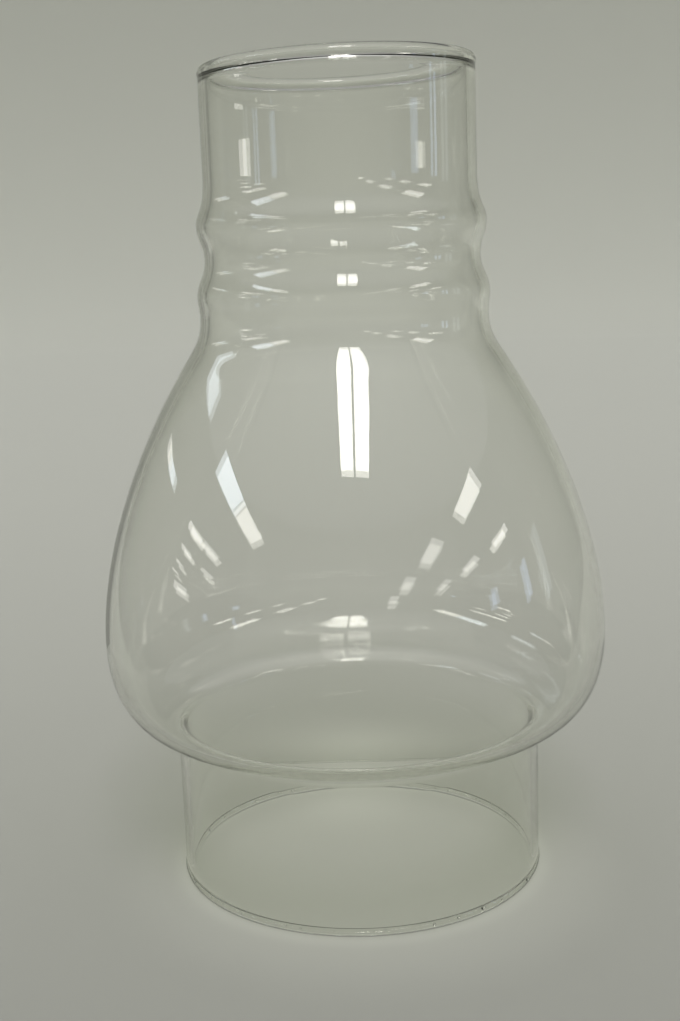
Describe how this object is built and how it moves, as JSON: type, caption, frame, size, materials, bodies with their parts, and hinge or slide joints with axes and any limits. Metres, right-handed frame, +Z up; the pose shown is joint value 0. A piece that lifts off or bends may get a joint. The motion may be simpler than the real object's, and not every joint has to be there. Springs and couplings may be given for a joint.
{
  "type": "oil lamp chimney",
  "caption": "Clear blown-glass chimney for a flat-wick oil lamp, with a straight collar, a squat bulge and a ringed neck under an open tube.",
  "frame": {"origin": "centre of the widest part of the bulge, seen from above, at the height of the foot's resting edge", "axes": "+Z up along the chimney, from the foot to the rim; +X to the right as seen in the picture, -Y towards the viewer"},
  "size_m": [0.104, 0.104, 0.1656],
  "materials": {
    "clear_glass": "clear blown glass, smooth, fire-polished at the rim and the foot"
  },
  "bodies": {
    "root": {"glass_chimney": "clear_glass"}
  },
  "joints": []
}
